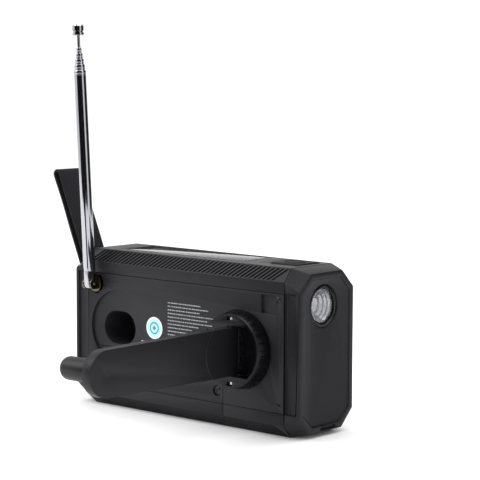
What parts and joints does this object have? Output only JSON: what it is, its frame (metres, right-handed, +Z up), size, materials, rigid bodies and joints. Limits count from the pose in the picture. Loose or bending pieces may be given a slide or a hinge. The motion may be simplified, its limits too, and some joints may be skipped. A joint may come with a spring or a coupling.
{
  "type": "emergency radio",
  "caption": "Black hand-cranked emergency radio with a torch in one end, a folding crank and telescopic aerial on the back, and a solar panel on top.",
  "frame": {"origin": "middle of the flat underside", "axes": "+Z up, +X along the case towards the aerial and strap end with the torch at -X, +Y out of the crank side, -Y out of the speaker side"},
  "size_m": [0.1701, 0.1501, 0.1937],
  "materials": {
    "case_black": "fine satin moulding grain",
    "panel_black": "fine matte moulding grain",
    "hub_black": "polished sides, satin face",
    "arm_black": "fine matte moulding grain",
    "knob_black": "satin",
    "rubber_black": "matte",
    "steel_bright": "polished",
    "steel_plain": "turned",
    "brass": "bright",
    "webbing_black": "flat woven polyester",
    "clear_plastic": "polished",
    "solar_silicon": "glossy dark blue-black",
    "reflector_metal": "bright metallised",
    "lamp_white": "white board with a yellow emitter",
    "dial_white": "printed scale",
    "pointer_red": "satin",
    "gear_plastic": "natural acetal",
    "board_green": "solder mask",
    "speaker_paper": "pressed paper",
    "button_red": "matte",
    "cell_wrap": "shrink film"
  },
  "bodies": {
    "housing": {"front_case": "case_black", "rear_frame": "case_black", "torch_cap": "case_black", "aerial_cap": "case_black", "rear_panel": "panel_black", "battery_door": "panel_black", "door_screw": "steel_plain", "panel_screws": "steel_plain", "gear_plate": "gear_plastic", "idler_pin": "steel_plain", "generator": "steel_plain", "aerial_socket": "hub_black", "strap_bar": "steel_plain", "torch_ring": "hub_black", "torch_lens": "clear_plastic", "torch_reflector": "reflector_metal", "torch_lamp": "lamp_white", "solar_frame": "case_black", "solar_cell": "solar_silicon", "solar_cover": "clear_plastic", "speaker_grille": "case_black", "speaker_basket": "steel_plain", "speaker_cone": "speaker_paper", "speaker_magnet": "steel_plain", "dial_window": "clear_plastic", "dial_scale": "dial_white", "tuning_gang": "board_green", "volume_pot": "board_green", "main_board": "board_green", "board_posts": "case_black", "battery_cell": "cell_wrap", "battery_cradle": "case_black", "battery_contacts": "steel_plain", "usb_ports": "steel_plain"},
    "crank": {"crank_hub": "hub_black", "crank_hinge_pin": "steel_plain", "crank_shaft": "steel_plain", "drive_gear": "gear_plastic"},
    "crank_arm": {"crank_arm": "arm_black", "knob_pin": "steel_plain"},
    "crank_knob": {"crank_knob": "knob_black"},
    "idler": {"idler_gear": "gear_plastic"},
    "rotor": {"generator_pinion": "brass"},
    "aerial_swivel": {"aerial_swivel": "brass", "aerial_pin": "steel_bright"},
    "aerial_base": {"aerial_tube_1": "steel_bright"},
    "aerial_stage_2": {"aerial_tube_2": "steel_bright"},
    "aerial_stage_3": {"aerial_tube_3": "steel_bright"},
    "aerial_stage_4": {"aerial_tube_4": "steel_bright"},
    "aerial_stage_5": {"aerial_tube_5": "steel_bright"},
    "aerial_end": {"aerial_rod": "steel_bright", "aerial_tip": "steel_bright"},
    "tuning": {"tuning_knob": "knob_black"},
    "pointer": {"dial_pointer": "pointer_red"},
    "volume": {"volume_knob": "knob_black"},
    "lamp_button": {"lamp_button": "rubber_black"},
    "sos_button": {"sos_button": "button_red"},
    "band_switch": {"band_switch": "knob_black"},
    "port_flap": {"port_flap": "rubber_black"},
    "strap": {"wrist_strap": "webbing_black"}
  },
  "joints": [
    {"name": "crank_turn", "type": "hinge", "parent": "housing", "child": "crank", "pos_m": [-0.0386, 0.02, 0.0396], "axis": [0, 1, 0], "continuous": true},
    {"name": "idler_turn", "type": "hinge", "parent": "housing", "child": "idler", "pos_m": [-0.02892, 0.02, 0.05636], "axis": [0, 1, 0], "continuous": true},
    {"name": "rotor_turn", "type": "hinge", "parent": "housing", "child": "rotor", "pos_m": [-0.01411, 0.02, 0.05321], "axis": [0, 1, 0], "continuous": true},
    {"name": "crank_fold", "type": "hinge", "parent": "crank", "child": "crank_arm", "pos_m": [-0.0386, 0.0255, 0.0396], "axis": [0, 0, 1], "range_deg": [-90, 62]},
    {"name": "knob_spin", "type": "hinge", "parent": "crank_arm", "child": "crank_knob", "pos_m": [-0.0361, 0.11, 0.0396], "axis": [1, 0, 0], "continuous": true},
    {"name": "aerial_turn", "type": "hinge", "parent": "housing", "child": "aerial_swivel", "pos_m": [0.06, 0.0242, 0.0627], "axis": [0, 1, 0], "range_deg": [-93.5, 86.5]},
    {"name": "aerial_tilt", "type": "hinge", "parent": "aerial_swivel", "child": "aerial_base", "pos_m": [0.06, 0.0242, 0.0627], "axis": [-0.9981, 0, 0.061], "range_deg": [0, 80]},
    {"name": "aerial_stage_2_slide", "type": "slide", "parent": "aerial_base", "child": "aerial_stage_2", "axis": [0.061, 0, 0.9981], "range_m": [0, 0.085]},
    {"name": "aerial_stage_3_slide", "type": "slide", "parent": "aerial_stage_2", "child": "aerial_stage_3", "axis": [0.061, 0, 0.9981], "range_m": [0, 0.085]},
    {"name": "aerial_stage_4_slide", "type": "slide", "parent": "aerial_stage_3", "child": "aerial_stage_4", "axis": [0.061, 0, 0.9981], "range_m": [0, 0.085]},
    {"name": "aerial_stage_5_slide", "type": "slide", "parent": "aerial_stage_4", "child": "aerial_stage_5", "axis": [0.061, 0, 0.9981], "range_m": [0, 0.085]},
    {"name": "aerial_end_slide", "type": "slide", "parent": "aerial_stage_5", "child": "aerial_end", "axis": [0.061, 0, 0.9981], "range_m": [0, 0.085]},
    {"name": "tuning_turn", "type": "hinge", "parent": "housing", "child": "tuning", "pos_m": [0.046, -0.02, 0.027], "axis": [0, 1, 0], "range_deg": [-150, 150]},
    {"name": "pointer_slide", "type": "slide", "parent": "housing", "child": "pointer", "axis": [1, 0, 0], "range_m": [-0.0205, 0.0205]},
    {"name": "volume_turn", "type": "hinge", "parent": "housing", "child": "volume", "pos_m": [0.017, -0.02, 0.027], "axis": [0, 1, 0], "range_deg": [-140, 140]},
    {"name": "lamp_press", "type": "slide", "parent": "housing", "child": "lamp_button", "axis": [0, 0, -1], "range_m": [0, 0.001], "stiffness_N_per_m": 900, "springref_m": -0.0003},
    {"name": "sos_press", "type": "slide", "parent": "housing", "child": "sos_button", "axis": [0, 1, 0], "range_m": [0, 0.001], "stiffness_N_per_m": 900, "springref_m": -0.0003},
    {"name": "band_slide", "type": "slide", "parent": "housing", "child": "band_switch", "axis": [1, 0, 0], "range_m": [-0.003, 0.003]},
    {"name": "flap_open", "type": "hinge", "parent": "housing", "child": "port_flap", "pos_m": [0.07355, 0, 0.01375], "axis": [0, 1, 0], "range_deg": [0, 105]},
    {"name": "strap_swing", "type": "hinge", "parent": "housing", "child": "strap", "pos_m": [0.0726, 0.009, 0.0706], "axis": [0, 1, 0], "range_deg": [-26, 90]}
  ],
  "couplings": [
    {"joint": "idler_turn", "follows": "crank_turn", "ratio": -3},
    {"joint": "rotor_turn", "follows": "crank_turn", "ratio": 12},
    {"joint": "pointer_slide", "follows": "tuning_turn", "m_per_rad": 0.0076394},
    {"joint": "aerial_stage_3_slide", "follows": "aerial_stage_2_slide", "ratio": 1},
    {"joint": "aerial_stage_4_slide", "follows": "aerial_stage_2_slide", "ratio": 1},
    {"joint": "aerial_stage_5_slide", "follows": "aerial_stage_2_slide", "ratio": 1},
    {"joint": "aerial_end_slide", "follows": "aerial_stage_2_slide", "ratio": 1}
  ]
}
